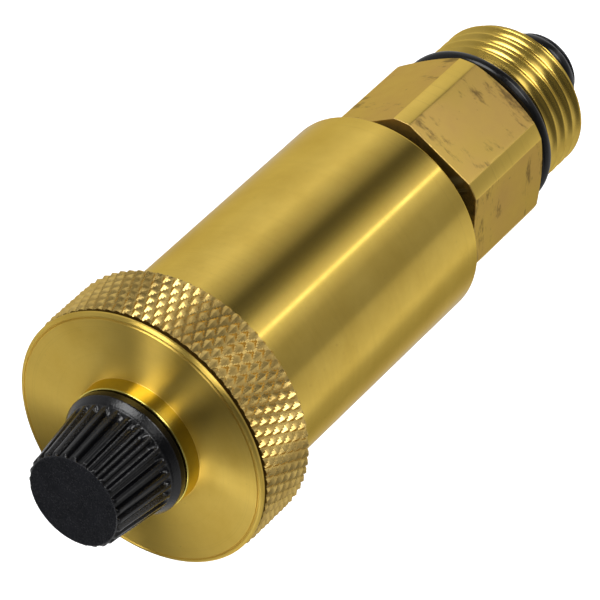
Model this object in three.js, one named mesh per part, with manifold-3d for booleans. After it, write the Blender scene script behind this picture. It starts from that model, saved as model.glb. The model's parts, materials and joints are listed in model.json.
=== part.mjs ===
// Automatic air vent with a self-closing shut-off valve under it.
//
// Millimetres, +Z up, as the vent is installed: inlet thread down, cap up.
// The origin is on the axis, at the shoulder under the hexagon, where the
// inlet thread's seal ring sits. Everything above it stands on that shoulder.

import * as THREE from 'three';
import { mergeVertices } from 'three/addons/utils/BufferGeometryUtils.js';
import Module from 'manifold-3d';

const wasm = await Module();
wasm.setup();

// ---------------------------------------------------------------- dimensions

const gap = 0.3; // between neighbouring pieces
const segments = 36; // facets round a turned piece

const inletThread = { radius: 10.4775, pitch: 1.814, depth: 1.162, top: -2.9, end: -11.2 };
const hexagon = { acrossFlats: 22, turnedRadius: 12.1, height: 16, chamfer: 0.8 };
const reliefDepth = 0.3; // of the groove above the inlet thread, below the thread's root
const passageRadius = 4.4;
const web = { bottom: -4, top: -2, holeRadius: 0.9, holeCircle: 2.9, holes: 6 };
const springChamberRadius = 6.4;
const socket = { radius: 8.63, bottom: 6, chamfer: 0.8 };
const plungerSeat = { mouth: -10.8, radius: 5.4, run: 1, rise: 1.2 }; // cone the seal ring closes on
const mouthRecess = { radius: 6.5 }; // shields the seal ring
const baseRing = { radius: 10.22, section: 0.9, height: -1.2 };

const plunger = { stemRadius: 1.3, headRadius: 5, headBottom: -17.3, hubRadius: 3.1, stemTop: 9.9 };
const plungerRing = { radius: 4.6, section: 1.2, height: -15.4 };
const springCup = { radius: 6.4, bottom: 6.45, top: 7.95 };
const clip = { radius: 2.6, thickness: 0.5, grooveRadius: 0.95 };
const spring = { radius: 4.2, wire: 0.45, turns: 5, curveSides: 3, stepsPerTurn: 14 };

const stub = { radius: 8.33, bottom: 8.25, top: 15, neckRadius: 7.6, boreRadius: 5 };
const barrel = { radius: 14, bottom: 19.6, top: 60.2, edge: 0.4 };
const chamber = { radius: 11.4, floor: 24 };
const lidThread = { radius: 13, top: 64.9 };
const bodyRing = { radius: 9.3, section: 1.3, height: 17.8 };
const lidRing = { radius: 12.2, section: 0.75, height: 65.95 };

const lid = { boreRadius: 13.35, ceiling: 67, knurlRadius: 17.1, beadRadius: 16.85, faceRadius: 16.4,
  top: 70 };
const collar = { radius: 8.3, top: 72.1 };
const spigot = { radius: 5, top: 78, boreRadius: 2.2 };

const nozzle = { shankRadius: 3, flangeRadius: 4.4, orificeRadius: 0.8, tip: 62.4, top: 70.2 };
const nozzleFlange = { bottom: 65, top: 65.9 };
const nozzleRing = { radius: 3.85, section: 0.5, height: 67.6 };

const bracket = { sheet: 0.5, back: -9, front: 4.8, width: 9, earLength: 4, earBottom: 58.2 };
const pivot = { x: -7, z: 60, pinRadius: 0.7, holeRadius: 1 };
const pinHead = { radius: 1.3, thickness: 0.6, overhang: 0.8 };
const lever = { thickness: 0.8, width: 5.4, tip: 9.2, knuckleRadius: 1.7, knuckleLength: 6.6 };
const leverSlot = { x: 6, length: 3.2, width: 2.4 };
const pad = { radius: 2.2, thickness: 1.4, stemRadius: 0.8, lipRadius: 1.5 };

const floatTravel = 2.5;
const float = { radius: 10.4, wall: 1.2, crown: 1.5, bottom: 27, top: 52 };
const floatBoss = { radius: 2.6, height: 2, holeRadius: 1, holeBottom: 50.9 };
const hook = { bottom: 51.2, stemRadius: 0.7, stopRadius: 2, stopThickness: 0.7, barRadius: 0.6,
  barLength: 4 };
const hookPlay = { over: 0.5, under: 0.9 }; // from the lever's faces to the bar and to the stop

const cap = { flangeRadius: 8.1, bottom: 72.4, coneBottomRadius: 7.3, coneTopRadius: 6.45, top: 82.8 };
const capBore = { radius: 5.3, ceiling: 80 };
const capRibs = { count: 28, pointsPerRib: 4, depth: 0.45, bottom: 74.9, top: 81.3 };
const capWasher = { radius: 4.9, thickness: 1.4 };

// The lever's arm, and the angle by which it hangs while the float is down.
const leverArm = leverSlot.x - pivot.x;
const leverDrop = Math.asin(floatTravel / leverArm);

// ---------------------------------------------------------------- materials

function finish(color, roughness, metalness) {
  return new THREE.MeshStandardMaterial({ color, roughness, metalness });
}

const polishedBrass = () => finish(0xc9a53c, 0.25, 1);
const rawBrass = () => finish(0xa98846, 0.5, 1);
const steel = () => finish(0xb9bcc0, 0.3, 1);
const blackPlastic = () => finish(0x1b1b1e, 0.45, 0);
const blackRubber = () => finish(0x101010, 0.6, 0);
const whitePlastic = () => finish(0xe6e2d6, 0.5, 0);

// ---------------------------------------------------------------- shape tools

// A closed solid of revolution about Z. The outline runs [radius, height]
// anticlockwise, from axis to axis, or round to its own start.
function turned(outline, facets = segments) {
  const points = outline.map(([radius, height]) => new THREE.Vector2(radius, height));
  const onAxis = outline[0][0] === 0;
  if (!onAxis) points.push(points[0].clone());
  return new THREE.LatheGeometry(points, facets).rotateX(Math.PI / 2);
}

// A cylinder along Z from one height to another.
function rod(radius, bottom, top, facets = 20) {
  const height = top - bottom;
  const geometry = new THREE.CylinderGeometry(radius, radius, height, facets);
  return geometry.rotateX(Math.PI / 2).translate(0, 0, bottom + height / 2);
}

// A cylinder along Y, centred on y.
function crossRod(radius, length, x, y, z, facets = 16) {
  return new THREE.CylinderGeometry(radius, radius, length, facets).translate(x, y, z);
}

function block(xRange, yRange, zRange) {
  const size = [xRange, yRange, zRange].map(([low, high]) => high - low);
  const centre = [xRange, yRange, zRange].map(([low, high]) => (low + high) / 2);
  return new THREE.BoxGeometry(...size).translate(...centre);
}

function ring(radius, section, height, facets = segments) {
  const sectionSides = 8;
  return new THREE.TorusGeometry(radius, section, sectionSides, facets).translate(0, 0, height);
}

// A manifold solid from a closed three.js geometry.
function solid(geometry) {
  const bare = geometry.clone();
  bare.deleteAttribute('normal');
  bare.deleteAttribute('uv');
  const merged = mergeVertices(bare, 1e-4);
  const triangles = [];
  for (let i = 0; i < merged.index.count; i += 3) {
    const corners = [0, 1, 2].map((k) => merged.index.getX(i + k));
    if (new Set(corners).size === 3) triangles.push(...corners);
  }
  const mesh = new wasm.Mesh({
    numProp: 3,
    vertProperties: new Float32Array(merged.attributes.position.array),
    triVerts: new Uint32Array(triangles),
  });
  return new wasm.Manifold(mesh);
}

// The three.js geometry of a manifold solid.
function surface(manifold) {
  const mesh = manifold.getMesh();
  const geometry = new THREE.BufferGeometry();
  geometry.setAttribute('position', new THREE.BufferAttribute(mesh.vertProperties, 3));
  geometry.setIndex(new THREE.BufferAttribute(mesh.triVerts, 1));
  geometry.computeVertexNormals();
  return geometry;
}

// Cuts every listed geometry out of the first one.
function cut(blank, ...tools) {
  return tools.reduce((body, tool) => body.subtract(solid(tool)), blank);
}

// Copies of a hole through Z, evenly spaced on a circle.
function holeCircle(holeRadius, circleRadius, count, bottom, top) {
  return Array.from({ length: count }, (_, i) => {
    const angle = (2 * Math.PI * (i + 0.5)) / count;
    const hole = rod(holeRadius, bottom, top, 14);
    return hole.translate(circleRadius * Math.cos(angle), circleRadius * Math.sin(angle), 0);
  });
}

// A right-handed threaded rod about Z, longer than the stretch asked for. Its
// rows of points follow the helix, and one turn on a row meets the row one
// pitch higher. Both ends are closed by a fan to a point on the axis.
function threadedRod({ radius, pitch, depth }, bottom, top) {
  const root = radius - depth;
  const profile = [[0, root], [1 / 6, root], [1 / 2, radius], [2 / 3, radius]];
  const rowsPerTurn = profile.length;
  const turns = Math.ceil((top - bottom) / pitch) + 3;
  const lastRow = rowsPerTurn * turns;
  const start = bottom - 2 * pitch;

  const positions = [];
  for (let column = 0; column < segments; column++) {
    const angle = (2 * Math.PI * column) / segments;
    for (let row = 0; row <= lastRow; row++) {
      const [fraction, r] = profile[row % rowsPerTurn];
      const turn = Math.floor(row / rowsPerTurn) + fraction + column / segments;
      positions.push(r * Math.cos(angle), r * Math.sin(angle), start + pitch * turn);
    }
  }
  const at = (column, row) => column * (lastRow + 1) + row;
  const bottomPoint = segments * (lastRow + 1);
  const topPoint = bottomPoint + 1;
  positions.push(0, 0, start, 0, 0, start + pitch * (turns + 1));

  const triangles = [];
  const quad = (a, b, c, d) => triangles.push(a, b, c, a, c, d);
  for (let column = 0; column < segments - 1; column++) {
    for (let row = 0; row < lastRow; row++) {
      quad(at(column, row), at(column + 1, row), at(column + 1, row + 1), at(column, row + 1));
    }
  }
  const seam = segments - 1;
  for (let row = 0; row < lastRow - rowsPerTurn; row++) {
    const next = row + rowsPerTurn;
    quad(at(seam, row), at(0, next), at(0, next + 1), at(seam, row + 1));
  }

  const lowerEdge = Array.from({ length: segments }, (_, column) => at(column, 0));
  const upperEdge = Array.from({ length: segments }, (_, column) => at(column, lastRow));
  for (let step = rowsPerTurn; step > 0; step--) lowerEdge.push(at(0, step));
  for (let step = 1; step <= rowsPerTurn; step++) upperEdge.push(at(seam, lastRow - step));
  lowerEdge.forEach((point, i) => {
    triangles.push(bottomPoint, lowerEdge[(i + 1) % lowerEdge.length], point);
  });
  upperEdge.forEach((point, i) => {
    triangles.push(topPoint, point, upperEdge[(i + 1) % upperEdge.length]);
  });

  const geometry = new THREE.BufferGeometry();
  geometry.setAttribute('position', new THREE.Float32BufferAttribute(positions, 3));
  geometry.setIndex(triangles);
  return geometry;
}

// ---------------------------------------------------------------- shut-off valve

// Hexagon bar turned down to the inlet thread, bored for the plunger and
// tapped above for the vent's stub.
function shutoffBody() {
  const { acrossFlats, turnedRadius, height, chamfer } = hexagon;
  const cornerRadius = acrossFlats / 2 / Math.cos(Math.PI / 6);
  const bar = new THREE.CylinderGeometry(cornerRadius, cornerRadius, height, 6);
  bar.rotateX(Math.PI / 2).rotateZ(Math.PI / 2).translate(0, 0, height / 2);
  const shoulderRadius = acrossFlats / 2 - chamfer;
  const turnedBar = turned([
    [0, -1],
    [shoulderRadius, -1],
    [shoulderRadius, 0],
    [turnedRadius, (turnedRadius - shoulderRadius) * Math.tan(Math.PI / 6)],
    [turnedRadius, height + 1],
    [0, height + 1],
  ], 48);

  const { radius, depth, top, end } = inletThread;
  const root = radius - depth;
  const reliefRadius = root - reliefDepth;
  const threadBlank = turned([
    [0, end],
    [root - 0.2, end],
    [radius + 0.2, end + depth + 0.4],
    [radius + 0.2, top - depth],
    [reliefRadius, top],
    [reliefRadius, 1],
    [0, 1],
  ]);
  const core = turned([[0, end + 0.1], [reliefRadius, end + 0.1], [reliefRadius, 1], [0, 1]]);
  const shank = solid(threadedRod(inletThread, end, 1)).intersect(solid(threadBlank)).add(solid(core));
  const blank = solid(bar).intersect(solid(turnedBar)).add(shank);

  const seat = plungerSeat;
  const lowerPassage = turned([
    [0, end - 1],
    [mouthRecess.radius, end - 1],
    [mouthRecess.radius, seat.mouth],
    [seat.radius, seat.mouth],
    [seat.radius - seat.run, seat.mouth + seat.rise],
    [passageRadius, web.bottom],
    [0, web.bottom],
  ]);
  const upperPassage = turned([
    [0, web.top],
    [springChamberRadius, web.top],
    [springChamberRadius, socket.bottom],
    [socket.radius, socket.bottom],
    [socket.radius, height - socket.chamfer],
    [socket.radius + socket.chamfer, height],
    [socket.radius + socket.chamfer, height + 1],
    [0, height + 1],
  ]);
  const stemHole = rod(plunger.stemRadius + gap, web.bottom - 1, web.top + 1);
  const flowHoles = holeCircle(web.holeRadius, web.holeCircle, web.holes, web.bottom - 1, web.top + 1);
  return surface(cut(blank, lowerPassage, upperPassage, stemHole, ...flowHoles));
}

// Stem and head in one: the head hangs below the inlet thread's end, because
// the vent's stub holds the valve open.
function shutoffPlunger() {
  const { stemRadius, headRadius, headBottom, hubRadius, stemTop } = plunger;
  const ringBottom = plungerRing.height - plungerRing.section;
  const hubTop = plungerRing.height + plungerRing.section + 0.1;
  const grooveBottom = springCup.top;
  const grooveTop = grooveBottom + clip.thickness + 2 * gap;
  return turned([
    [0, headBottom],
    [headRadius - 0.6, headBottom],
    [headRadius, headBottom + 0.3],
    [headRadius, ringBottom - gap],
    [hubRadius, ringBottom - gap],
    [hubRadius, hubTop],
    [stemRadius, hubTop],
    [stemRadius, grooveBottom],
    [clip.grooveRadius, grooveBottom],
    [clip.grooveRadius, grooveTop],
    [stemRadius, grooveTop],
    [stemRadius, stemTop],
    [0, stemTop],
  ]);
}

// The cup that the vent's stub pushes down, and that the spring pushes up.
function plungerSpringCup() {
  const { radius, bottom, top } = springCup;
  const bore = plunger.stemRadius + gap;
  const blank = turned([[bore, bottom], [radius, bottom], [radius, top], [bore, top]]);
  const flowHoles = holeCircle(1, 4.1, 4, bottom - 1, top + 1);
  return surface(cut(solid(blank), ...flowHoles));
}

// Open retaining ring in the groove at the stem's top.
function plungerClip() {
  const bottom = springCup.top + gap;
  const top = bottom + clip.thickness;
  const inner = clip.grooveRadius + gap;
  const blank = turned([[inner, bottom], [clip.radius, bottom], [clip.radius, top], [inner, top]]);
  const mouth = block([0, clip.radius + 1], [-1, 1], [bottom - 1, top + 1]);
  return surface(cut(solid(blank), mouth));
}

class Helix extends THREE.Curve {
  constructor(radius, bottom, top, turns) {
    super();
    Object.assign(this, { radius, bottom, top, turns });
  }

  getPoint(t, target = new THREE.Vector3()) {
    const angle = 2 * Math.PI * this.turns * t;
    const height = this.bottom + (this.top - this.bottom) * t;
    return target.set(this.radius * Math.cos(angle), this.radius * Math.sin(angle), height);
  }
}

function plungerSpring() {
  const { radius, wire, turns, curveSides, stepsPerTurn } = spring;
  const low = web.top + gap + wire;
  const high = springCup.bottom - gap - wire;
  const section = new THREE.Shape().absarc(0, 0, wire, 0, 2 * Math.PI);
  return new THREE.ExtrudeGeometry(section, {
    steps: turns * stepsPerTurn,
    curveSegments: curveSides,
    bevelEnabled: false,
    extrudePath: new Helix(radius, low, high, turns),
  });
}

// ---------------------------------------------------------------- vent body

// Barrel, float chamber, threaded stub below and lid thread above in one.
function ventBody() {
  return turned([
    [stub.boreRadius, stub.bottom],
    [stub.radius - 0.7, stub.bottom],
    [stub.radius, stub.bottom + 0.7],
    [stub.radius, stub.top],
    [stub.neckRadius, stub.top + 0.5],
    [stub.neckRadius, barrel.bottom],
    [barrel.radius - barrel.edge, barrel.bottom],
    [barrel.radius, barrel.bottom + barrel.edge],
    [barrel.radius, barrel.top],
    [lidThread.radius, barrel.top],
    [lidThread.radius, lidThread.top - 0.4],
    [lidThread.radius - 0.4, lidThread.top],
    [chamber.radius, lidThread.top],
    [chamber.radius, chamber.floor + 2],
    [chamber.radius - 2.4, chamber.floor],
    [stub.boreRadius, chamber.floor],
  ], 48);
}

// ---------------------------------------------------------------- lid

// Knurled cap nut with the collar and the threaded spigot turned on its top.
function knurledLid() {
  const { boreRadius, ceiling, knurlRadius, beadRadius, faceRadius, top } = lid;
  const bottom = barrel.top + gap;
  const grooveRadius = beadRadius - 0.3;
  const ringRecess = { radius: nozzleRing.radius + nozzleRing.section + gap, top: ceiling + 1.4 };
  const shankBore = nozzle.shankRadius + gap;
  return turned([
    [boreRadius, bottom],
    [knurlRadius - 0.6, bottom],
    [knurlRadius, bottom + 0.6],
    [knurlRadius, top - 1.6],
    [grooveRadius, top - 1.2],
    [grooveRadius, top - 1],
    [beadRadius, top - 0.85],
    [beadRadius, top - 0.5],
    [faceRadius, top],
    [collar.radius, top],
    [collar.radius - 0.1, collar.top],
    [spigot.radius, collar.top],
    [spigot.radius, spigot.top - 0.4],
    [spigot.radius - 0.4, spigot.top],
    [spigot.boreRadius, spigot.top],
    [spigot.boreRadius, nozzle.top + gap],
    [shankBore, nozzle.top + gap],
    [shankBore, ringRecess.top],
    [ringRecess.radius, ringRecess.top],
    [ringRecess.radius, ceiling],
    [boreRadius, ceiling],
  ], 48);
}

// The brass seat that the valve pad closes, pressed into the lid from below.
function valveNozzle() {
  const { shankRadius, flangeRadius, orificeRadius, tip, top } = nozzle;
  return turned([
    [orificeRadius, tip],
    [orificeRadius + 0.5, tip],
    [shankRadius - 0.6, tip + 1],
    [shankRadius - 0.6, nozzleFlange.bottom],
    [flangeRadius, nozzleFlange.bottom],
    [flangeRadius, nozzleFlange.top],
    [shankRadius, nozzleFlange.top],
    [shankRadius, top],
    [orificeRadius, top],
  ], 24);
}

// ---------------------------------------------------------------- lever gear

// Bent sheet fork, clamped under the lid by the nozzle's flange.
function leverBracket() {
  const { sheet, back, front, width, earLength, earBottom } = bracket;
  const bottom = nozzleFlange.top + gap;
  const top = bottom + sheet;
  const half = width / 2;
  const plate = block([back, front], [-half, half], [bottom, top]);
  const ears = [-1, 1].map((side) => {
    const faces = [side * half, side * (half - sheet)].sort((a, b) => a - b);
    return block([back, back + earLength], faces, [earBottom, top]);
  });
  const blank = ears.reduce((body, ear) => body.add(solid(ear)), solid(plate));
  const nozzleHole = rod(nozzle.shankRadius + gap, bottom - 1, top + 1, 24);
  const pinHole = crossRod(pivot.holeRadius, width + 2, pivot.x, 0, pivot.z);
  return surface(cut(blank, nozzleHole, pinHole));
}

// Headed pin through both ears of the bracket.
function leverPin() {
  const { x, z, pinRadius } = pivot;
  const length = bracket.width + 2 * pinHead.overhang;
  const head = crossRod(pinHead.radius, pinHead.thickness, x, length / 2 + pinHead.thickness / 3, z);
  return surface(solid(crossRod(pinRadius, length, x, 0, z)).add(solid(head)));
}

// Flat arm with a rolled knuckle, drawn level and centred on its pivot.
function valveLever() {
  const { thickness, width, tip, knuckleRadius, knuckleLength } = lever;
  const end = tip - pivot.x;
  const halfWidth = width / 2;
  const outline = new THREE.Shape();
  outline.moveTo(0, -halfWidth);
  outline.lineTo(end - halfWidth, -halfWidth);
  outline.absarc(end - halfWidth, 0, halfWidth, -Math.PI / 2, Math.PI / 2);
  outline.lineTo(0, halfWidth);
  outline.closePath();
  const settings = { depth: thickness, bevelEnabled: false, curveSegments: 10 };
  const arm = new THREE.ExtrudeGeometry(outline, settings);
  arm.translate(0, 0, -thickness / 2);

  const knuckle = crossRod(knuckleRadius, knuckleLength, 0, 0, 0);
  const pinHole = crossRod(pivot.holeRadius, knuckleLength + 2, 0, 0, 0);
  const padHole = rod(pad.stemRadius + gap, -2, 2).translate(-pivot.x, 0, 0);
  const halfLength = leverSlot.length / 2;
  const slotSide = leverSlot.width / 2;
  const slot = block([leverArm - halfLength, leverArm + halfLength], [-slotSide, slotSide], [-2, 2]);
  return surface(cut(solid(arm).add(solid(knuckle)), pinHole, padHole, slot));
}

// Rubber button that stands in the lever's hole and closes the nozzle.
function valvePad() {
  const top = nozzle.tip - gap - pivot.z;
  const under = top - pad.thickness;
  const lipTop = -lever.thickness / 2 - gap;
  return turned([
    [0, lipTop - 0.6],
    [pad.lipRadius, lipTop - 0.6],
    [pad.lipRadius, lipTop],
    [pad.stemRadius, lipTop],
    [pad.stemRadius, under],
    [pad.radius, under],
    [pad.radius, top],
    [0, top],
  ], 24).translate(-pivot.x, 0, 0);
}

// ---------------------------------------------------------------- float

// Thin plastic bell, open below, with a boss for the hook.
function floatBell() {
  const { radius, wall, crown, bottom, top } = float;
  const bell = turned([
    [0, top - crown],
    [radius - wall, top - crown],
    [radius - wall, bottom],
    [radius, bottom],
    [radius, top - 0.8],
    [radius - 0.8, top],
    [0, top],
  ]);
  const boss = rod(floatBoss.radius, top - 0.5, top + floatBoss.height, 24).translate(leverSlot.x, 0, 0);
  const hookHole = rod(floatBoss.holeRadius, floatBoss.holeBottom, top + floatBoss.height + 1);
  return surface(cut(solid(bell).add(solid(boss)), hookHole.translate(leverSlot.x, 0, 0)));
}

// Wire stem in the float's boss, with a stop under the lever and a bar over it.
function floatHook() {
  const leverCentre = pivot.z - floatTravel;
  const halfThickness = lever.thickness / 2;
  const barHeight = leverCentre + halfThickness + hookPlay.over + hook.barRadius;
  const stopTop = leverCentre - halfThickness - hookPlay.under;
  const stem = rod(hook.stemRadius, hook.bottom, barHeight, 14);
  const stop = rod(hook.stopRadius, stopTop - hook.stopThickness, stopTop);
  const bar = crossRod(hook.barRadius, hook.barLength, 0, 0, barHeight, 12);
  return surface(solid(stem).add(solid(stop)).add(solid(bar)).translate([leverSlot.x, 0, 0]));
}

// ---------------------------------------------------------------- cap

// Moulded cap: flange, ribbed cone and flat end, bored for the spigot.
function ventCap() {
  const { flangeRadius, bottom, coneBottomRadius, coneTopRadius, top } = cap;
  const geometry = turned([
    [0, capBore.ceiling],
    [capBore.radius, capBore.ceiling],
    [capBore.radius, bottom],
    [flangeRadius - 0.2, bottom],
    [flangeRadius, bottom + 0.2],
    [flangeRadius, bottom + 0.9],
    [flangeRadius - 0.3, bottom + 1.3],
    [coneBottomRadius + 0.2, bottom + 1.7],
    [coneBottomRadius, capRibs.bottom],
    [coneBottomRadius, capRibs.bottom + 0.1],
    [coneTopRadius, capRibs.top],
    [coneTopRadius, capRibs.top + 0.1],
    [coneTopRadius - 0.15, top - 0.6],
    [coneTopRadius - 0.8, top],
    [0, top],
  ], capRibs.count * capRibs.pointsPerRib);

  const position = geometry.attributes.position;
  const { count, pointsPerRib } = capRibs;
  for (let i = 0; i < position.count; i++) {
    const [x, y, z] = [position.getX(i), position.getY(i), position.getZ(i)];
    const radius = Math.hypot(x, y);
    const onCone = radius > capBore.radius + 0.1 && z > capRibs.bottom + 0.05 && z < capRibs.top + 0.05;
    const step = Math.round((Math.atan2(y, x) / (2 * Math.PI)) * count * pointsPerRib);
    const inFlute = (step + count * pointsPerRib) % pointsPerRib > 1;
    if (onCone && inFlute) {
      const scale = (radius - capRibs.depth) / radius;
      position.setXY(i, x * scale, y * scale);
    }
  }
  return geometry;
}

// ---------------------------------------------------------------- assembly

function group(parent) {
  const child = new THREE.Group();
  parent.add(child);
  return child;
}

function place(parent, name, geometry, material) {
  const mesh = new THREE.Mesh(geometry, material);
  mesh.name = name;
  parent.add(mesh);
}

const airVent = new THREE.Group();

const shutoffValve = group(airVent);
place(shutoffValve, 'shutoff_body', shutoffBody(), rawBrass());
place(shutoffValve, 'base_seal_ring', ring(baseRing.radius, baseRing.section, baseRing.height),
  blackRubber());
place(shutoffValve, 'plunger_spring', plungerSpring(), steel());

const plungerGroup = group(shutoffValve);
place(plungerGroup, 'shutoff_plunger', shutoffPlunger(), blackPlastic());
const plungerSeal = ring(plungerRing.radius, plungerRing.section, plungerRing.height);
place(plungerGroup, 'plunger_seal_ring', plungerSeal, blackRubber());
place(plungerGroup, 'plunger_spring_cup', plungerSpringCup(), polishedBrass());
place(plungerGroup, 'plunger_clip', plungerClip(), steel());

const vent = group(airVent);
place(vent, 'body_seal_ring', ring(bodyRing.radius, bodyRing.section, bodyRing.height), blackRubber());
place(vent, 'vent_body', ventBody(), polishedBrass());

const lidGroup = group(vent);
place(lidGroup, 'lid_seal_ring', ring(lidRing.radius, lidRing.section, lidRing.height), blackRubber());
place(lidGroup, 'knurled_lid', knurledLid(), polishedBrass());
place(lidGroup, 'valve_nozzle', valveNozzle(), polishedBrass());
const nozzleSeal = ring(nozzleRing.radius, nozzleRing.section, nozzleRing.height, 20);
place(lidGroup, 'nozzle_seal_ring', nozzleSeal, blackRubber());
place(lidGroup, 'lever_bracket', leverBracket(), steel());
place(lidGroup, 'lever_pin', leverPin(), steel());

const leverGroup = group(lidGroup);
leverGroup.position.set(pivot.x, 0, pivot.z);
leverGroup.rotation.y = leverDrop;
place(leverGroup, 'valve_lever', valveLever(), steel());
place(leverGroup, 'valve_pad', valvePad(), blackRubber());

const floatGroup = group(lidGroup);
place(floatGroup, 'float', floatBell(), whitePlastic());
place(floatGroup, 'float_hook', floatHook(), steel());

const capGroup = group(lidGroup);
const washerBottom = spigot.top + gap;
const washer = rod(capWasher.radius, washerBottom, washerBottom + capWasher.thickness, 32);
place(capGroup, 'cap_washer', washer, blackRubber());
place(capGroup, 'vent_cap', ventCap(), blackPlastic());

export default airVent;
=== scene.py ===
"""Looks of the automatic air vent: fine meshes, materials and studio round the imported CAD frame.

Outlines are in millimetres in the part's own frame: the axis is Z, the inlet thread points down, and
z = 0 is the shoulder under the hexagon. Meshes are made in metres in that same frame.
"""

import json
import math

import bpy
import numpy as np
from mathutils import Matrix, Vector

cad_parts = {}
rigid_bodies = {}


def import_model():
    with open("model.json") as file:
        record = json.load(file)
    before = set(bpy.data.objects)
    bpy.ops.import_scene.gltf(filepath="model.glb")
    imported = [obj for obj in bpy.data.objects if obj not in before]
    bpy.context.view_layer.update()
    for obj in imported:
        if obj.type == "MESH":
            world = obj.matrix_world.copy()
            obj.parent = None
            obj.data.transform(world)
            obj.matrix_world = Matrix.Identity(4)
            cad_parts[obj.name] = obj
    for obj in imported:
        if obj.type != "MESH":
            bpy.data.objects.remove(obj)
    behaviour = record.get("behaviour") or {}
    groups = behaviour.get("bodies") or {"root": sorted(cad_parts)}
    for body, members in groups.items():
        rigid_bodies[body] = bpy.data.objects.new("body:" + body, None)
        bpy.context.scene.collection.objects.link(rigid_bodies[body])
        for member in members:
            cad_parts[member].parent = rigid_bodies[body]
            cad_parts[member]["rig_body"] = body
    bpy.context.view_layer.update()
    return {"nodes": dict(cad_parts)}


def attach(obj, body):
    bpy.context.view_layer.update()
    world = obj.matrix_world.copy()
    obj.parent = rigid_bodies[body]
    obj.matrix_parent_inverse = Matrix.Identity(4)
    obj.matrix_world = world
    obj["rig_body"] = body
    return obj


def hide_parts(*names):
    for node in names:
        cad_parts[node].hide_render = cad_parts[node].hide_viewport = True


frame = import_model()

MM = 0.001
TAU = 2 * math.pi

# ---------------------------------------------------------------- dimensions, mm

# Threads: radius of the crests, pitch, depth, and the share of a turn that sets where the crest starts.
INLET_THREAD = {"radius": 10.4775, "pitch": 1.814, "depth": 0.85, "crest": 0.205}
STUB_THREAD = {"radius": 8.33, "pitch": 1.337, "depth": 0.75, "crest": 0.0}
LID_THREAD = {"radius": 13.0, "pitch": 1.0, "depth": 0.55, "crest": 0.0}
SPIGOT_THREAD = {"radius": 5.0, "pitch": 1.0, "depth": 0.5, "crest": 0.0}
CREST_SHARE, CREST_ROUNDING = 0.06, 0.01

# Shut-off body, outside: hexagon bar, relief under it, inlet thread with a taper at each end.
FLAT_RADIUS, TURNED_RADIUS = 11.0, 12.1
HEX_HEIGHT = 16.0
SHOULDER_RADIUS = 10.2
CHAMFER_SLOPE = math.tan(math.radians(30))
RELIEF_RADIUS = 9.0
INLET_TOP, INLET_END = -2.9, -11.2
INLET_NOSE = 9.1
TAPER_BELOW, TAPER_ABOVE = 1.36, 1.16

# Shut-off body, inside, from the top: threaded socket, spring bore, web with the stem's hole, throat, seat.
SOCKET_BORE, SOCKET_FLOOR, SOCKET_CHAMFER = 8.63, 6, 0.8
SPRING_BORE = 6.4
STEM_HOLE, WEB_TOP, WEB_BOTTOM = 1.6, -2, -4
THROAT_BORE = 4.4
SEAT_RADIUS, SEAT_HEIGHT = 5.4, 1.2
MOUTH_RADIUS, INLET_MOUTH = 6.5, -10.8

BARREL_RADIUS, BARREL_BOTTOM, BARREL_TOP = 14, 19.6, 60.2
LID_BORE, LID_FACE, RIM_GROOVE_TOP = 13.35, 70, 69.42
COLLAR_RADIUS, SPIGOT_FOOT = 8.3, 72.1

# Knurl: diamonds round the lid, their length along the axis, and the mesh's rows and columns in each.
KNURL = {"bottom": 60.5, "radius": 17.1, "round": 76, "length": 2.78, "depth": 0.48, "steps": 8}
KNURL_START = (-3 / 8, -1 / 8)
KNURL_TIP = 0.92
KNURL_ROWS = 24
KNURL_STEP = KNURL["length"] / KNURL["steps"]
KNURL_TOP = KNURL["bottom"] + KNURL_ROWS * KNURL_STEP
KNURL_CHAMFER = 0.3

CAP_RIBS, RIB_DEPTH = 28, 0.6
RIB_BOTTOM, RIB_TOP = 74.3, 82.75
RIB_RAMP_BOTTOM, RIB_RAMP_TOP = 0.7, 0.25
CAP_TOP_RADIUS = 5.8
CAP_BORE, CAP_END = 5.3, 82.8

# ---------------------------------------------------------------- outlines


def rounded(outline, steps=4, fillet=0.12):
    """The closed outline with its corners rounded. A point may carry its own radius as a third number;
    points on the axis stay sharp."""
    points = []
    count = len(outline)
    for i, corner in enumerate(outline):
        here = np.array(corner[:2], float)
        before = np.array(outline[i - 1][:2], float)
        after = np.array(outline[(i + 1) % count][:2], float)
        radius = corner[2] if len(corner) > 2 else fillet
        if here[0] == 0 or radius == 0:
            points.append(here)
            continue
        back, on = before - here, after - here
        room = 0.45 * min(np.linalg.norm(back), np.linalg.norm(on))
        back, on = back / np.linalg.norm(back), on / np.linalg.norm(on)
        half_angle = math.acos(np.clip(back @ on, -1, 1)) / 2
        reach = min(room, radius / max(math.tan(half_angle), 1e-6))
        start, end = here + back * reach, here + on * reach
        for t in np.linspace(0, 1, steps + 1):
            points.append((1 - t) ** 2 * start + 2 * t * (1 - t) * here + t**2 * end)
    return np.array(points)


def refined(points, low, high, step):
    """The outline with no stretch longer than step between two heights."""
    result = []
    for i, here in enumerate(points):
        after = points[(i + 1) % len(points)]
        result.append(here)
        inside = low <= min(here[1], after[1]) and max(here[1], after[1]) <= high
        pieces = math.ceil(np.linalg.norm(after - here) / step) if inside else 1
        for k in range(1, pieces):
            result.append(here + (after - here) * k / pieces)
    return np.array(result)


# ---------------------------------------------------------------- surface relief


def thread_wave(thread, angle, height):
    """1 on a right-handed thread's narrow crests and 0 in its rounded roots."""
    phase = (height / thread["pitch"] - angle / TAU + thread["crest"]) % 1
    from_crest = np.clip(abs((phase + 0.5) % 1 - 0.5) * 2 - CREST_SHARE, 0, 1) / (1 - CREST_SHARE)
    return 1 - np.sin(np.sqrt(from_crest**2 + CREST_ROUNDING) / math.sqrt(1 + CREST_ROUNDING) * math.pi / 2)


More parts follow.
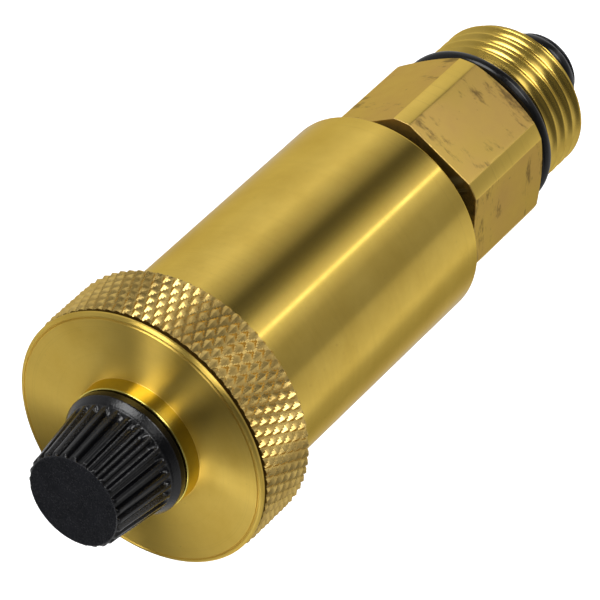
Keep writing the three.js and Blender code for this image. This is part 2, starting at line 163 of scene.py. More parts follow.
def outside_thread(thread, low, high):
    """Cuts the thread into a shaft's wall, wherever the wall stands above the thread's surface."""

    def relief(angle, radius, height):
        surface = thread["radius"] - thread["depth"] * (1 - thread_wave(thread, angle, height))
        wall = (height > low) & (height < high) & (radius < thread["radius"] + 0.05)
        return np.where(wall, np.minimum(radius, surface), radius)

    return relief


def inside_thread(thread, bore, low, high):
    """Cuts the thread into the wall of a bore."""

    def relief(angle, radius, height):
        wall = (height > low) & (height < high) & (abs(radius - bore) < 0.05)
        return np.where(wall, bore + thread["depth"] * (1 - thread_wave(thread, angle, height)), radius)

    return relief


def knurl(angle, radius, height):
    """Diamond knurl: pyramids, longer along the axis, between two families of crossing grooves."""
    across = angle / TAU * KNURL["round"] + KNURL_START[0]
    along = (height - KNURL["bottom"]) / KNURL["length"] + KNURL_START[1]
    left, right = (across + along) % 1, (across - along) % 1
    pyramid = 2 * np.minimum(np.minimum(left, 1 - left), np.minimum(right, 1 - right))
    surface = KNURL["radius"] - KNURL["depth"] * (1 - np.minimum(pyramid, KNURL_TIP))
    band = (height < KNURL_TOP + 0.01) & (radius > KNURL["radius"] - 0.7)
    return np.where(band, np.minimum(radius, surface), radius)


def knurled_wall():
    """Outline of the knurled wall in the knurl's own steps, with its first and last point set back."""
    wall = []
    for i in range(KNURL_ROWS + 1):
        set_back = KNURL_CHAMFER if i in (0, KNURL_ROWS) else 0
        wall.append((KNURL["radius"] - set_back, KNURL["bottom"] + i * KNURL_STEP, 0))
    return wall


def ribs(angle, radius, height):
    """Ribs along the cap's cone, with wide flutes between them that run out at both ends."""
    flute = np.clip(0.5 - 0.85 * np.cos(CAP_RIBS * angle), 0, 1)
    ramp_in = np.clip((height - RIB_BOTTOM) / RIB_RAMP_BOTTOM, 0, 1)
    ramp_out = np.clip((RIB_TOP - height) / RIB_RAMP_TOP, 0, 1)
    fluted = radius - RIB_DEPTH * flute * np.sqrt(ramp_in) * ramp_out
    return np.where(radius > CAP_TOP_RADIUS, fluted, radius)


def combined(*reliefs):
    """One relief that cuts all of these in turn."""

    def relief(angle, radius, height):
        for one in reliefs:
            radius = one(angle, radius, height)
        return radius

    return relief


# ---------------------------------------------------------------- meshes


def make_object(name, vertices, faces, smooth_angle=32):
    """A smooth-shaded object, with edges sharper than smooth_angle degrees kept sharp."""
    mesh = bpy.data.meshes.new(name)
    mesh.from_pydata(vertices, [], faces)
    mesh.validate()
    mesh.polygons.foreach_set("use_smooth", [True] * len(mesh.polygons))
    mesh.set_sharp_from_angle(angle=math.radians(smooth_angle))
    mesh.update()
    thing = bpy.data.objects.new(name, mesh)
    bpy.context.scene.collection.objects.link(thing)
    return thing


def skin(name, columns, smooth_angle=32):
    """A closed surface over columns of points in mm. Columns run round the axis, each is a closed
    outline, and points on the axis are shared by all the columns."""
    columns = np.asarray(columns, float)
    count, length = columns.shape[:2]
    on_axis = np.linalg.norm(columns[0, :, :2], axis=1) < 1e-9
    index = np.arange(count * length).reshape(count, length)
    index[:, on_axis] = index[0, on_axis]
    here, beside = index, np.roll(index, -1, axis=0)
    quads = np.stack([here, beside, np.roll(beside, -1, axis=1), np.roll(here, -1, axis=1)], axis=-1)
    faces = []
    for quad in quads.reshape(-1, 4).tolist():
        corners = list(dict.fromkeys(quad))
        if len(corners) > 2:
            faces.append(corners)
    used = sorted({i for face in faces for i in face})
    place = {old: new for new, old in enumerate(used)}
    vertices = (columns.reshape(-1, 3)[used] * MM).tolist()
    faces = [[place[i] for i in face] for face in faces]
    return make_object(name, vertices, faces, smooth_angle)


def turned(name, outline, columns=128, relief=None, smooth_angle=32):
    """A solid of revolution about Z from a closed outline of [radius, height], anticlockwise."""
    outline = np.asarray(outline, float)
    angles = np.arange(columns) * TAU / columns
    angle = angles[:, None]
    radius = np.broadcast_to(outline[:, 0], (columns, len(outline)))
    height = np.broadcast_to(outline[:, 1], (columns, len(outline)))
    if relief:
        radius = relief(angle, radius, height)
    grid = np.stack([radius * np.cos(angle), radius * np.sin(angle), height], axis=-1)
    return skin(name, grid, smooth_angle)


def ring(name, radius, section, height, columns=144, sides=28):
    """A round-section ring about Z. section is the radius of its cross-section."""
    turn = np.arange(sides) * TAU / sides
    outline = np.stack([radius + section * np.cos(turn), height + section * np.sin(turn)], axis=-1)
    return turned(name, outline, columns)


# ---------------------------------------------------------------- node trees


class Tree:
    """Adds nodes to a tree, one call each. An input is a number, a colour or another node's socket."""

    def __init__(self, tree):
        self.tree = tree
        tree.nodes.clear()

    def add(self, kind, inputs=None, **settings):
        node = self.tree.nodes.new(kind)
        for key, value in settings.items():
            setattr(node, key, value)
        for key, value in (inputs or {}).items():
            if isinstance(value, bpy.types.NodeSocket):
                self.tree.links.new(value, node.inputs[key])
            else:
                node.inputs[key].default_value = value
        return node

    def math(self, operation, *values):
        return self.add("ShaderNodeMath", dict(enumerate(values)), operation=operation).outputs[0]

    def vector(self, operation, *values, output=0):
        node = self.add("ShaderNodeVectorMath", dict(enumerate(values)), operation=operation)
        return node.outputs[output]

    def mapped(self, value, low, high, to_low=0.0, to_high=1.0, smooth=False):
        inputs = {"Value": value, "From Min": low, "From Max": high, "To Min": to_low, "To Max": to_high}
        kind = "SMOOTHSTEP" if smooth else "LINEAR"
        return self.add("ShaderNodeMapRange", inputs, interpolation_type=kind).outputs["Result"]

    def mixed(self, share, first, second):
        node = self.add("ShaderNodeMix", data_type="RGBA")
        for key, value in ((0, share), (6, first), (7, second)):
            if isinstance(value, bpy.types.NodeSocket):
                self.tree.links.new(value, node.inputs[key])
            else:
                node.inputs[key].default_value = value
        return node.outputs[2]

    def noise(self, vector, size_mm, detail=2.0, roughness=0.5):
        inputs = {"Vector": vector, "Scale": 1 / (size_mm * MM), "Detail": detail, "Roughness": roughness}
        return self.add("ShaderNodeTexNoise", inputs).outputs["Fac"]


def material(name, build):
    """A material whose tree is filled in by build(tree, principled shader, object coordinates)."""
    made = bpy.data.materials.new(name)
    made.use_nodes = True
    tree = Tree(made.node_tree)
    shader = tree.add("ShaderNodeBsdfPrincipled")
    output = tree.add("ShaderNodeOutputMaterial")
    made.node_tree.links.new(shader.outputs["BSDF"], output.inputs["Surface"])
    position = tree.add("ShaderNodeTexCoord").outputs["Object"]
    build(tree, shader, position)
    return made


def connect(tree, shader, **inputs):
    """Links or sets the shader's inputs, named with underscores for spaces."""
    for key, value in inputs.items():
        socket = shader.inputs[key.replace("_", " ")]
        if isinstance(value, bpy.types.NodeSocket):
            tree.tree.links.new(value, socket)
        else:
            socket.default_value = value


def lathe_coordinates(tree, position):
    """Distance from the axis and height as a vector, so that a texture runs in rings like tool marks."""
    parts = tree.add("ShaderNodeSeparateXYZ", {"Vector": position}).outputs
    flat = tree.add("ShaderNodeCombineXYZ", {"X": parts["X"], "Y": parts["Y"]}).outputs[0]
    radius = tree.vector("LENGTH", flat, output="Value")
    return tree.add("ShaderNodeCombineXYZ", {"X": radius, "Z": parts["Z"]}).outputs[0]


def bump(tree, height, depth_mm):
    inputs = {"Height": height, "Distance": depth_mm * MM}
    return tree.add("ShaderNodeBump", inputs).outputs["Normal"]


# ---------------------------------------------------------------- materials

BRASS, BRASS_DEEP = (0.75, 0.53, 0.115, 1), (0.67, 0.46, 0.09, 1)
BRASS_RAW, BRASS_PINK = (0.665, 0.455, 0.107, 1), (0.62, 0.405, 0.122, 1)
BRASS_CUT = (0.80, 0.56, 0.125, 1)
BRASS_EDGE = (0.95, 0.82, 0.5, 1)
BRASS_WORN = (0.9, 0.72, 0.32, 1)
BRASS_STAIN = (0.16, 0.10, 0.045, 1)
KNURL_TONES = (0.70, 0.50, 0.165, 1), (0.58, 0.395, 0.12, 1)
# Collar tones: the lid's brass made darker and yellower, painted shade with a yellow cast that stands in for
# the lid face's reflection.
COLLAR_SHADE_TONES = (0.70, 0.59, 0.15, 1), (0.58, 0.48, 0.11, 1)
# Groove tones: the lid's brass darkened to about a third, painted shade for the deep groove above the knurl.
GROOVE_SHADE_TONES = (0.34, 0.25, 0.085, 1), (0.26, 0.18, 0.06, 1)

# Lighter than the ribbed tones: on the cap's flat end this lift is painted light on the top face; the
# plunger takes the same tones.
LIFTED_BLACK_TONES = (0.005, 0.0055, 0.0075, 1), (0.010, 0.0105, 0.0135, 1)
RIBBED_TONES = (0.001, 0.001, 0.0015, 1), (0.003, 0.003, 0.004, 1)
RUBBER_TONES = (0.003, 0.003, 0.003, 1), (0.007, 0.007, 0.007, 1)
STEEL_TONES = (0.5, 0.51, 0.53, 1), (0.62, 0.63, 0.65, 1)
WHITE_TONES = (0.72, 0.70, 0.64, 1), (0.80, 0.78, 0.73, 1)


def turned_brass(anisotropy, roughness, mark_mm, mark_depth, tones=(BRASS, BRASS_DEEP)):
    """Brass off a lathe: rings of fine tool marks, and faint haze where it was handled. Marks in mm."""

    def build(tree, shader, position):
        lathe = lathe_coordinates(tree, position)
        marks = tree.noise(lathe, mark_mm, detail=3, roughness=0.6)
        haze = tree.noise(position, 7, detail=4, roughness=0.6)
        specks = tree.mapped(tree.noise(position, 0.5, detail=2), 0.7, 0.78)
        tint = tree.mixed(tree.mapped(haze, 0.35, 0.7), *tones)
        rings = tree.mapped(marks, 0.55, 0.75, 0, 0.12)
        dirt = tree.math("MAXIMUM", tree.math("MULTIPLY", specks, 0.25), rings)
        colour = tree.mixed(dirt, tint, BRASS_STAIN)
        rough = tree.mapped(haze, 0.3, 0.75, roughness * 0.85, roughness * 1.3)
        tangent = tree.add("ShaderNodeTangent", direction_type="RADIAL", axis="Z").outputs[0]
        connect(tree, shader, Base_Color=colour, Metallic=1.0, Specular_Tint=BRASS_EDGE, Roughness=rough,
                Tangent=tangent, Anisotropic=anisotropy, Anisotropic_Rotation=0.25,
                Normal=bump(tree, marks, mark_depth))

    return build


def cut_brass(roughness, grain_mm, grain_depth, tones=(BRASS, BRASS_DEEP)):
    """Brass with a bright cut surface and fine scratches in no one direction. Grain in mm."""

    def build(tree, shader, position):
        grain = tree.noise(position, grain_mm, detail=4, roughness=0.6)
        haze = tree.noise(position, 3, detail=3)
        colour = tree.mixed(tree.mapped(haze, 0.35, 0.7), *tones)
        rough = tree.mapped(haze, 0.3, 0.75, roughness * 0.85, roughness * 1.25)
        connect(tree, shader, Base_Color=colour, Metallic=1.0, Specular_Tint=BRASS_EDGE, Roughness=rough,
                Normal=bump(tree, grain, grain_depth))

    return build


def drawn_brass(tree, shader, position):
    """Brass bar as drawn: matt, streaked along its length, with dark stains and worn edges."""
    streak_space = tree.vector("MULTIPLY", position, (1, 1, 0.12))
    streaks = tree.noise(streak_space, 0.45, detail=4, roughness=0.6)
    clouds = tree.noise(position, 6, detail=3, roughness=0.55)
    smudge_space = tree.vector("MULTIPLY", position, (0.45, 0.45, 1.2))
    smudges = tree.mapped(tree.noise(smudge_space, 2.9, detail=5, roughness=0.7), 0.53, 0.68, smooth=True)
    spots = tree.mapped(tree.noise(position, 1.1, detail=1), 0.72, 0.8, smooth=True)
    stains = tree.math("MAXIMUM", smudges, tree.math("MULTIPLY", spots, 0.5))
    fine = tree.noise(position, 0.25, detail=2)
    colour = tree.mixed(tree.mapped(clouds, 0.3, 0.7), BRASS_RAW, BRASS_PINK)
    colour = tree.mixed(tree.math("MULTIPLY", stains, 0.8), colour, BRASS_STAIN)
    sharpness = tree.add("ShaderNodeNewGeometry").outputs["Pointiness"]
    colour = tree.mixed(tree.mapped(sharpness, 0.52, 0.6), colour, BRASS_WORN)
    rough = tree.mapped(clouds, 0.3, 0.7, 0.36, 0.5)
    relief = tree.math("ADD", streaks, tree.math("MULTIPLY", fine, 0.4))
    connect(tree, shader, Base_Color=colour, Metallic=1.0, Specular_Tint=BRASS_EDGE, Roughness=rough,
            Normal=bump(tree, relief, 0.012))


def moulded_black(tones, smoothest, roughest, specular):
    """Black moulded plastic with a fine grain and a light bloom."""

    def build(tree, shader, position):
        grain = tree.noise(position, 0.22, detail=3, roughness=0.6)
        bloom = tree.noise(position, 2.5, detail=3)
        colour = tree.mixed(tree.mapped(bloom, 0.3, 0.7), *tones)
        rough = tree.mapped(grain, 0.35, 0.7, smoothest, roughest)
        connect(tree, shader, Base_Color=colour, Roughness=rough, Specular_IOR_Level=specular,
                Normal=bump(tree, grain, 0.035))

    return build


def black_rubber(tree, shader, position):
    """Moulded rubber, a little oily."""
    grain = tree.noise(position, 0.3, detail=3)
    colour = tree.mixed(grain, *RUBBER_TONES)
    rough = tree.mapped(grain, 0.35, 0.7, 0.14, 0.26)
    connect(tree, shader, Base_Color=colour, Roughness=rough, Specular_IOR_Level=0.3,
            Normal=bump(tree, grain, 0.004))


def bright_steel(tree, shader, position):
    """Stainless sheet and wire, with a grain drawn along the height."""
    grain = tree.noise(tree.vector("MULTIPLY", position, (1, 1, 0.15)), 0.2, detail=3)
    colour = tree.mixed(grain, *STEEL_TONES)
    rough = tree.mapped(grain, 0.3, 0.7, 0.2, 0.34)
    connect(tree, shader, Base_Color=colour, Metallic=1.0, Roughness=rough, Normal=bump(tree, grain, 0.004))


def white_plastic(tree, shader, position):
    """Moulded plastic of the float, a little translucent."""
    grain = tree.noise(position, 0.4, detail=3)
    colour = tree.mixed(grain, *WHITE_TONES)
    rough = tree.mapped(grain, 0.3, 0.7, 0.38, 0.52)
    connect(tree, shader, Base_Color=colour, Roughness=rough, Subsurface_Weight=0.1,
            Subsurface_Scale=0.002, Normal=bump(tree, grain, 0.006))


LOOKS = {name: material(name, build) for name, build in {
    "barrel_brass": turned_brass(0.8, 0.16, 0.12, 0.0012),
    "face_brass": turned_brass(0.95, 0.34, 0.16, 0.002),
    # The collar round the cap is one piece with the face; its darker, yellower brass is painted shade and
    # painted reflection.
    "collar_shaded_brass": turned_brass(0.8, 0.15, 0.12, 0.0012, COLLAR_SHADE_TONES),
    # The groove above the knurl: dark brass, painted shade in the recess.
    "groove_shade_brass": cut_brass(0.36, 0.3, 0.004, GROOVE_SHADE_TONES),
    "thread_brass": cut_brass(0.2, 0.3, 0.003),
    "knurl_brass": cut_brass(0.26, 0.25, 0.008, KNURL_TONES),
    "drawn_brass": drawn_brass,
    "corner_brass": turned_brass(0.3, 0.32, 0.3, 0.03, (BRASS_CUT, BRASS)),
    "moulded_black": moulded_black(LIFTED_BLACK_TONES, 0.12, 0.32, 0.3),
    "ribbed_black": moulded_black(RIBBED_TONES, 0.05, 0.2, 0.45),
    "black_rubber": black_rubber,
    "bright_steel": bright_steel,
    "white_plastic": white_plastic,
}.items()}


def stands_for(thing, node, *looks, zone=None):
    """The piece takes a CAD node's place and body, and the looks as its materials. Of several looks, zone
    picks the number of the one for each face, from the radius, height and angle of the face's middle, in mm."""
    for look in looks:
        thing.data.materials.append(LOOKS[look])
    if zone:
        centres = np.zeros(len(thing.data.polygons) * 3)
        thing.data.polygons.foreach_get("center", centres)
        x, y, z = (centres / MM).reshape(-1, 3).T
        picked = zone(np.hypot(x, y), z, np.arctan2(y, x)).astype(int)
        thing.data.polygons.foreach_set("material_index", picked)
    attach(thing, frame["nodes"][node]["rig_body"])
    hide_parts(node)
    return thing


# ---------------------------------------------------------------- shut-off valve

TURNED_CORNER = math.acos(FLAT_RADIUS / TURNED_RADIUS)


def from_flat(angle):
    """Angle from the middle of the nearest flat. Flats face 30, 90, ... degrees."""
    return (angle - math.radians(30) + TAU / 12) % (TAU / 6) - TAU / 12


def hexagon_angles():
    """Column angles: closer together where a flat meets a turned corner."""
    edge = math.degrees(TURNED_CORNER)
    half = [*np.linspace(0, edge - 1.6, 9), edge - 0.9, edge - 0.4, edge, edge + 0.4, edge + 0.9]
    half += [*np.linspace(edge + 1.8, 30, 5)]
    sector = sorted({round(sign * a, 6) for sign in (-1, 1) for a in half} - {-30.0})
    return np.radians([30 + 60 * side + a for side in range(6) for a in sector])


def hexagon_radius(angle):
    """Radius of the bar with its corners turned off."""
    flat = FLAT_RADIUS / math.cos(from_flat(angle))
    return (flat + TURNED_RADIUS - math.hypot(flat - TURNED_RADIUS, 0.05)) / 2


def shutoff_outline(outer):
    """The body's outline at one angle, where the hexagon's outside has the radius outer."""
    crest = INLET_THREAD["radius"]
    crease = (outer - SHOULDER_RADIUS) * CHAMFER_SLOPE
    points = rounded([
        (MOUTH_RADIUS, INLET_END, 0.1),
        (INLET_NOSE, INLET_END, 0.2),
        (crest, INLET_END + TAPER_BELOW, 0.3),
        (crest, INLET_TOP - TAPER_ABOVE, 0.2),
        (RELIEF_RADIUS, INLET_TOP, 0.2),
        (RELIEF_RADIUS, 0, 0.3),
        (SHOULDER_RADIUS, 0, 0.1),
        (outer, crease, 0.1),
        (outer, HEX_HEIGHT, 0.12),
        (SOCKET_BORE + SOCKET_CHAMFER, HEX_HEIGHT, 0.05),
        (SOCKET_BORE, HEX_HEIGHT - SOCKET_CHAMFER, 0.05),
        (SOCKET_BORE, SOCKET_FLOOR, 0.1),
        (SPRING_BORE, SOCKET_FLOOR, 0.1),
        (SPRING_BORE, WEB_TOP, 0.1),
        (STEM_HOLE, WEB_TOP, 0.05),
        (STEM_HOLE, WEB_BOTTOM, 0.05),
        (THROAT_BORE, WEB_BOTTOM, 0.05),
        (THROAT_BORE, INLET_MOUTH + SEAT_HEIGHT, 0.05),
        (SEAT_RADIUS, INLET_MOUTH, 0.05),
        (MOUTH_RADIUS, INLET_MOUTH, 0.05),
    ])
    points = refined(points, INLET_END, INLET_TOP, 0.06)
    return refined(points, SOCKET_FLOOR, HEX_HEIGHT - 0.7, 0.11)


def shutoff_zone(radius, height, angle):
    """0 for threads and inside, 1 for the bar's flats and end, 2 for its turned corners."""
    on_bar = (height > 0.1) & (radius > 9.4)
    on_corner = (abs(from_flat(angle)) > TURNED_CORNER) & (height < HEX_HEIGHT - 0.1)
    return np.select([on_bar & on_corner, on_bar], [2, 1], 0)


def make_shutoff_body():
    cut = combined(outside_thread(INLET_THREAD, INLET_END - 1, INLET_TOP + 0.1),
                   inside_thread(STUB_THREAD, SOCKET_BORE, 6.3, 15.1))
    columns = []
    for angle in hexagon_angles():
        outline = shutoff_outline(hexagon_radius(angle))
        radius = cut(angle, outline[:, 0], outline[:, 1])
        x, y = radius * math.cos(angle), radius * math.sin(angle)
        columns.append(np.stack([x, y, outline[:, 1]], axis=-1))
    return skin("fine_shutoff_body", columns)


stands_for(make_shutoff_body(), "shutoff_body", "thread_brass", "drawn_brass", "corner_brass",
           zone=shutoff_zone)
stands_for(ring("fine_base_seal_ring", 10.22, 0.9, -1.2), "base_seal_ring", "black_rubber")

# ---------------------------------------------------------------- plunger

PLUNGER_OUTLINE = [
    (0, -17.3), (5, -17.3, 0.7), (5, -16.9, 0.2), (3.1, -16.9, 0.1), (3.1, -14.1, 0.1), (1.3, -14.1, 0.3),
    (1.3, 7.95, 0.05), (0.95, 7.95, 0.05), (0.95, 9.05, 0.05), (1.3, 9.05, 0.05), (1.3, 9.9, 0.2), (0, 9.9),
]
plunger = turned("fine_shutoff_plunger", rounded(PLUNGER_OUTLINE), 96)
stands_for(plunger, "shutoff_plunger", "moulded_black")
stands_for(ring("fine_plunger_seal_ring", 4.6, 1.2, -15.4, 96), "plunger_seal_ring", "black_rubber")

# ---------------------------------------------------------------- vent body

VENT_BODY_OUTLINE = [
    (5, 8.25), (7.6, 8.25), (8.33, 8.95), (8.33, 15, 0.05), (7.6, 15.5, 0.1), (7.6, BARREL_BOTTOM, 0.2),
    (13.5, BARREL_BOTTOM, 0.2), (BARREL_RADIUS, BARREL_BOTTOM + 0.5, 0.35),
    (BARREL_RADIUS, BARREL_TOP, 0.1), (13, BARREL_TOP, 0.1), (13, 64.3, 0.1),
    (12.4, 64.9, 0.1), (11.4, 64.9, 0.1), (11.4, 26, 0.2), (9, 24, 0.2), (5, 24, 0.2),
]


def vent_body_zone(radius, height, angle):
    """0 for the polished barrel, 1 for the threads and inside."""
    return (height < BARREL_BOTTOM - 0.1) | (height > BARREL_TOP - 0.1) | (radius < BARREL_RADIUS - 2)


def make_vent_body():
    outline = refined(rounded(VENT_BODY_OUTLINE), 8.2, 15.1, 0.12)
    outline = refined(outline, 60.3, 64.9, 0.09)
    threads = combined(outside_thread(STUB_THREAD, 8.2, 15.05), outside_thread(LID_THREAD, 60.4, 65))
    return turned("fine_vent_body", outline, 160, threads)


stands_for(make_vent_body(), "vent_body", "barrel_brass", "thread_brass", zone=vent_body_zone)
stands_for(ring("fine_body_seal_ring", 9.3, 1.3, 17.8), "body_seal_ring", "black_rubber")

# ---------------------------------------------------------------- lid

LID_OUTLINE = [
    (LID_BORE, KNURL["bottom"], 0.2), *knurled_wall(),
    (16.1, 68.95, 0.04), (16.1, 69.3, 0.04), (16.85, RIM_GROOVE_TOP, 0.08), (16.85, 69.7, 0.15),
    (16.6, 69.97, 0.12), (16.38, 69.97, 0.05), (16.3, 69.82, 0.03), (16.2, 69.82, 0.03),
    (16.1, LID_FACE, 0.05), (COLLAR_RADIUS, LID_FACE, 0.06), (8.2, SPIGOT_FOOT, 0.15), (5, SPIGOT_FOOT, 0.1),
    (5, 77.6, 0.05), (4.6, 78, 0.1), (2.2, 78, 0.1), (2.2, 70.5, 0.05), (3.3, 70.5, 0.05), (3.3, 68.4, 0.05),
    (4.65, 68.4, 0.05), (4.65, 67, 0.05), (LID_BORE, 67, 0.1),
]


def lid_zone(radius, height, angle):
    """0 for the face, 1 for the knurl, 2 for the threads and inside, 3 for the collar round the cap (its
    darker, yellower brass is painted shade and reflection) and 4 for the groove above the knurl (its dark
    brass is painted shade)."""
    inside = (radius < 8) | ((height < 69) & (radius < 14))
    on_knurl = (height < KNURL_TOP) & (radius > 16)
    on_collar = (radius < COLLAR_RADIUS + 0.1) & (height > LID_FACE + 0.05)
    in_groove = (height > KNURL_TOP) & (height < RIM_GROOVE_TOP) & (radius > 16)
    return np.select([on_knurl, inside, on_collar, in_groove], [1, 2, 3, 4], 0)


def make_lid():
    outline = refined(rounded(LID_OUTLINE), SPIGOT_FOOT, 78, 0.1)
    cuts = combined(knurl, inside_thread(LID_THREAD, LID_BORE, 60.7, 66.8),
                    outside_thread(SPIGOT_THREAD, 72.4, 78.1))
    return turned("fine_knurled_lid", outline, KNURL["steps"] * KNURL["round"], cuts)


stands_for(make_lid(), "knurled_lid", "face_brass", "knurl_brass", "thread_brass", "collar_shaded_brass",
           "groove_shade_brass", zone=lid_zone)
stands_for(ring("fine_lid_seal_ring", 12.2, 0.75, 65.95), "lid_seal_ring", "black_rubber")

# ---------------------------------------------------------------- cap

CAP_OUTLINE = [
    (0, 80), (CAP_BORE, 80, 0.1), (CAP_BORE, 72.4, 0.1), (7.2, 72.4, 0.1), (7.2, 72.15, 0.05),
    (7.8, 72.15, 0.15), (8.1, 72.45, 0.25), (8.1, 73.3, 0.45), (7.6, 74, 0.45), (7.4, 74.2, 0.2),
    (6.45, 81.4, 0.2), (6.35, 82.5, 0.15), (6.0, CAP_END, 0.3), (0, CAP_END),
]
WASHER_OUTLINE = [(0, 78.3), (4.9, 78.3, 0.25), (4.9, 79.7, 0.25), (0, 79.7)]


def cap_zone(radius, height, angle):
    """0 for the ribs and flange, 1 for the flat end, whose lighter black is painted light on its top."""
    return height > CAP_END - 0.1


def make_cap():
    outline = refined(rounded(CAP_OUTLINE), RIB_BOTTOM - 0.3, RIB_TOP + 0.2, 0.16)
    cuts = combined(ribs, inside_thread(SPIGOT_THREAD, CAP_BORE, 72.8, 79.6))
    return turned("fine_vent_cap", outline, 12 * CAP_RIBS, cuts, smooth_angle=40)


# The cap's flat end takes the lighter black, painted light on its top; ribs and flange take the darker
# black.
stands_for(make_cap(), "vent_cap", "ribbed_black", "moulded_black", zone=cap_zone)
stands_for(turned("fine_cap_washer", rounded(WASHER_OUTLINE), 96), "cap_washer", "black_rubber")

# ---------------------------------------------------------------- nozzle and lever gear

NOZZLE_OUTLINE = [
    (0.8, 62.4, 0.15), (1.3, 62.4, 0.15), (2.4, 63.4, 0.2), (2.4, 65, 0.15), (4.4, 65, 0.15),
    (4.4, 65.9, 0.1), (3, 65.9, 0.1), (3, 70.2, 0.1), (0.8, 70.2, 0.1),
]
stands_for(turned("fine_valve_nozzle", rounded(NOZZLE_OUTLINE), 96), "valve_nozzle", "thread_brass")
stands_for(ring("fine_nozzle_seal_ring", 3.85, 0.5, 67.6, 96, 20), "nozzle_seal_ring", "black_rubber")

# CAD pieces whose shape is right as it is, and the look each one gets.
DRESSED = {
    "plunger_spring": "bright_steel",
    "plunger_clip": "bright_steel",
    "plunger_spring_cup": "thread_brass",
    "lever_bracket": "bright_steel",
    "lever_pin": "bright_steel",
    "valve_lever": "bright_steel",
    "valve_pad": "black_rubber",
    "float": "white_plastic",
    "float_hook": "bright_steel",
}
for node, look in DRESSED.items():
    for place in frame["nodes"][node].material_slots:
        place.material = LOOKS[look]

# ---------------------------------------------------------------- studio

CAMERA_SIDE = -33.4
CAMERA = {"elevation": 40.57, "roll": 132.9, "distance": 0.5525, "lens": 280.55,
          "target": (-0.65, -0.48, 37.91)}

# The light round the object, in rings: elevation of the ring, then radiance by azimuth. Azimuth counts
# from the camera's side. The lowest ring is what the barrel mirrors, in strips of light and shade.
LIGHT_RINGS = [
    (-40, [(-180, 0.6), (-150, 0.62), (-125, 0.4), (-106, 0.5), (-100, 0.68), (-95, 0.84), (-91, 0.84),
           (-84, 0.75), (-74, 0.7), (-58, 0.55), (-53, 0.34), (-44, 0.36), (-25, 0.44), (-11, 0.76),
           (-7.2, 0.88), (-6.1, 2.4), (-4.3, 2.4), (-3, 0.9), (0, 0.8), (4, 0.62), (9, 0.43), (15, 0.24),
           (22, 0.13), (29, 0.09), (34, 0.13), (40, 0.28), (58, 0.66), (70, 0.92), (95, 0.74),
           (150, 0.66)]),
    (12, [(-180, 0.05), (-173, 0.08), (-165, 1.1), (-145, 0.9), (-125, 0.6), (-86, 0.6), (-60, 0.25),
          (-35, 0.07), (-15, 0.12), (-6, 1.8), (6, 1.8), (13, 0.2), (60, 0.2), (90, 0.5), (125, 0.6),
          (145, 0.8), (165, 0.75), (173, 0.08)]),
    (42, [(-180, 0.04), (-172, 0.06), (-165, 1.4), (-145, 1.6), (-130, 0.5), (-115, 0.7), (-100, 0.1),
          (-40, 0.05), (-13, 0.08), (-6, 1.8), (6, 1.8), (13, 0.15), (70, 0.2), (100, 0.4), (130, 0.5),
          (148, 0.95), (165, 0.9), (172, 0.05)]),
    (66, [(-180, 0.02), (-152, 0.03), (-140, 0.9), (-110, 0.6), (-60, 0.15), (-10, 0.1), (0, 0.4),
          (10, 0.1), (60, 0.2), (130, 0.5), (146, 0.3), (154, 0.02)]),
    (84, [(-180, 0.02), (-60, 0.03), (60, 0.05), (150, 0.02)]),
]
# Lamps: azimuth, elevation, half width, half height and soft edge in degrees, then radiance.
LAMPS = [
    (0, -5, 15, 9, 6, 6.5),
    (50, 27, 15, 16, 4, 7.0),
    (105, 71, 7, 5, 3, 6.0),
    (0, 80, 3, 8, 2, 6.0),
    (-149, 49, 5, 4, 3, 6.0),
]
BRIGHTEST = 8.0
BACKDROP = (0.98, 0.98, 0.98, 1)

FLOOR_HEIGHT = -0.7
FLOOR_RADII = (0.5, 1.5, 3.0)
FLOOR_SIDES = 96
FLOOR_TINTS = (0.90, 0.90, 0.90, 1), (0.93, 0.93, 0.93, 1)
FLOOR_GLOW = (0.9, 0.9, 0.9, 1)


def direction(azimuth, elevation):
    """Unit vector. Azimuth counts from the camera's own side, anticlockwise from above."""
    a = math.radians(azimuth + CAMERA_SIDE)
    e = math.radians(elevation)
    return Vector((math.cos(a) * math.cos(e), math.sin(a) * math.cos(e), math.sin(e)))


def make_camera():
    data = bpy.data.cameras.new("camera")
    data.sensor_width = 36
    data.lens = CAMERA["lens"]
    camera = bpy.data.objects.new("camera", data)
    back = direction(0, CAMERA["elevation"])
    target = Vector(CAMERA["target"]) * MM
    upright = back.to_track_quat("Z", "Y").to_matrix().to_4x4()
    roll = Matrix.Rotation(-math.radians(CAMERA["roll"]), 4, "Z")
    camera.matrix_world = Matrix.Translation(target + back * CAMERA["distance"]) @ upright @ roll
    bpy.context.scene.collection.objects.link(camera)
    bpy.context.scene.camera = camera


def light_ring(tree, turn, stops):
    """Radiance at a turn from 0 to 1, which starts and ends on the side away from the camera."""
    ramp = tree.add("ShaderNodeValToRGB", {"Fac": turn})
    elements = ramp.color_ramp.elements
    first_azimuth, first_level = stops[0]
    closed = [*stops, (first_azimuth + 360, first_level)]
    while len(elements) < len(closed):
        elements.new(0.5)
    for element, (azimuth, level) in zip(elements, closed):
        element.position = (azimuth + 180) / 360
        element.color = [level / BRIGHTEST] * 3 + [1]
    return ramp.outputs["Color"]


def lamp_share(tree, towards, azimuth, elevation, width, height, soft):
    """1 inside an elliptical lamp, falling to 0 over its soft edge."""
    centre, east = direction(azimuth, elevation), direction(azimuth + 90, 0)
    along_width = east / math.sin(math.radians(width))
    along_height = centre.cross(east) / math.sin(math.radians(height))
    across = tree.vector("DOT_PRODUCT", towards, along_width, output="Value")
    up = tree.vector("DOT_PRODUCT", towards, along_height, output="Value")
    reach = tree.math("SQRT", tree.math("ADD", tree.math("MULTIPLY", across, across),
                                        tree.math("MULTIPLY", up, up)))
    inside = tree.mapped(reach, 1 + soft / width, 1 - soft / width, smooth=True)
    ahead = tree.math("GREATER_THAN", tree.vector("DOT_PRODUCT", towards, centre, output="Value"), 0.0)
    return tree.math("MULTIPLY", inside, ahead)


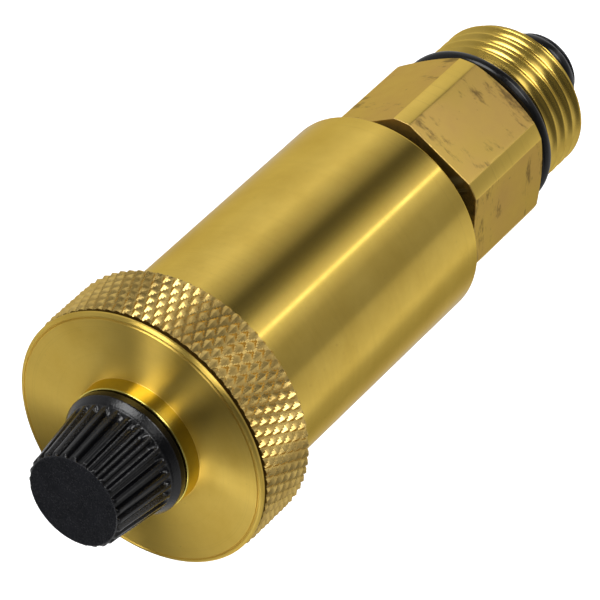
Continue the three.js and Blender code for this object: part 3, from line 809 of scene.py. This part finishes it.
def make_world():
    """Light rings blended by elevation, and the lamps over them. The camera sees a plain backdrop."""
    world = bpy.data.worlds.new("studio")
    world.use_nodes = True
    tree = Tree(world.node_tree)
    towards = tree.add("ShaderNodeTexCoord").outputs["Generated"]
    forward, side = direction(0, 0), direction(90, 0)
    azimuth = tree.math("ARCTAN2", tree.vector("DOT_PRODUCT", towards, side, output="Value"),
                        tree.vector("DOT_PRODUCT", towards, forward, output="Value"))
    turn = tree.mapped(azimuth, -math.pi, math.pi)
    height = tree.add("ShaderNodeSeparateXYZ", {"Vector": towards}).outputs["Z"]
    elevation = tree.math("ARCSINE", height)
    light = light_ring(tree, turn, LIGHT_RINGS[0][1])
    for (low, _), (high, stops) in zip(LIGHT_RINGS, LIGHT_RINGS[1:]):
        share = tree.mapped(elevation, math.radians(low), math.radians(high), smooth=True)
        light = tree.mixed(share, light, light_ring(tree, turn, stops))
    for lamp in LAMPS:
        share, radiance = lamp_share(tree, towards, *lamp[:5]), lamp[5] / BRIGHTEST
        light = tree.mixed(share, light, (radiance, radiance, radiance, 1))
    lit = tree.add("ShaderNodeBackground", {"Color": light, "Strength": BRIGHTEST})
    seen = tree.add("ShaderNodeBackground", {"Color": BACKDROP})
    camera_ray = tree.add("ShaderNodeLightPath").outputs["Is Camera Ray"]
    mix = tree.add("ShaderNodeMixShader", {0: camera_ray, 1: lit.outputs[0], 2: seen.outputs[0]})
    tree.add("ShaderNodeOutputWorld", {"Surface": mix.outputs[0]})
    bpy.context.scene.world = world


def floor_look(tree, shader, position):
    """Pale paper, with a little light of its own so that it stays near white."""
    tint = tree.mixed(tree.noise(position, 40, detail=2), *FLOOR_TINTS)
    connect(tree, shader, Base_Color=tint, Roughness=0.9, Emission_Color=FLOOR_GLOW, Emission_Strength=0.75)


def make_floor():
    """A flat disc in rings of faces, below the object and below a camera that looks up at it."""
    angles = np.arange(FLOOR_SIDES) * TAU / FLOOR_SIDES
    vertices = [(0, 0, FLOOR_HEIGHT)]
    for radius in FLOOR_RADII:
        vertices += [(radius * math.cos(a), radius * math.sin(a), FLOOR_HEIGHT) for a in angles]
    following = [(i, (i + 1) % FLOOR_SIDES) for i in range(FLOOR_SIDES)]
    faces = [[0, 1 + i, 1 + j] for i, j in following]
    for row in range(len(FLOOR_RADII) - 1):
        low = 1 + row * FLOOR_SIDES
        high = low + FLOOR_SIDES
        faces += [[low + i, high + i, high + j, low + j] for i, j in following]
    floor = make_object("floor", vertices, faces)
    floor.data.materials.append(material("pale_paper", floor_look))
    floor.visible_glossy = False
    floor.visible_diffuse = False
    floor.visible_shadow = False


make_camera()
make_world()
make_floor()
bpy.context.scene.view_settings.view_transform = "Standard"
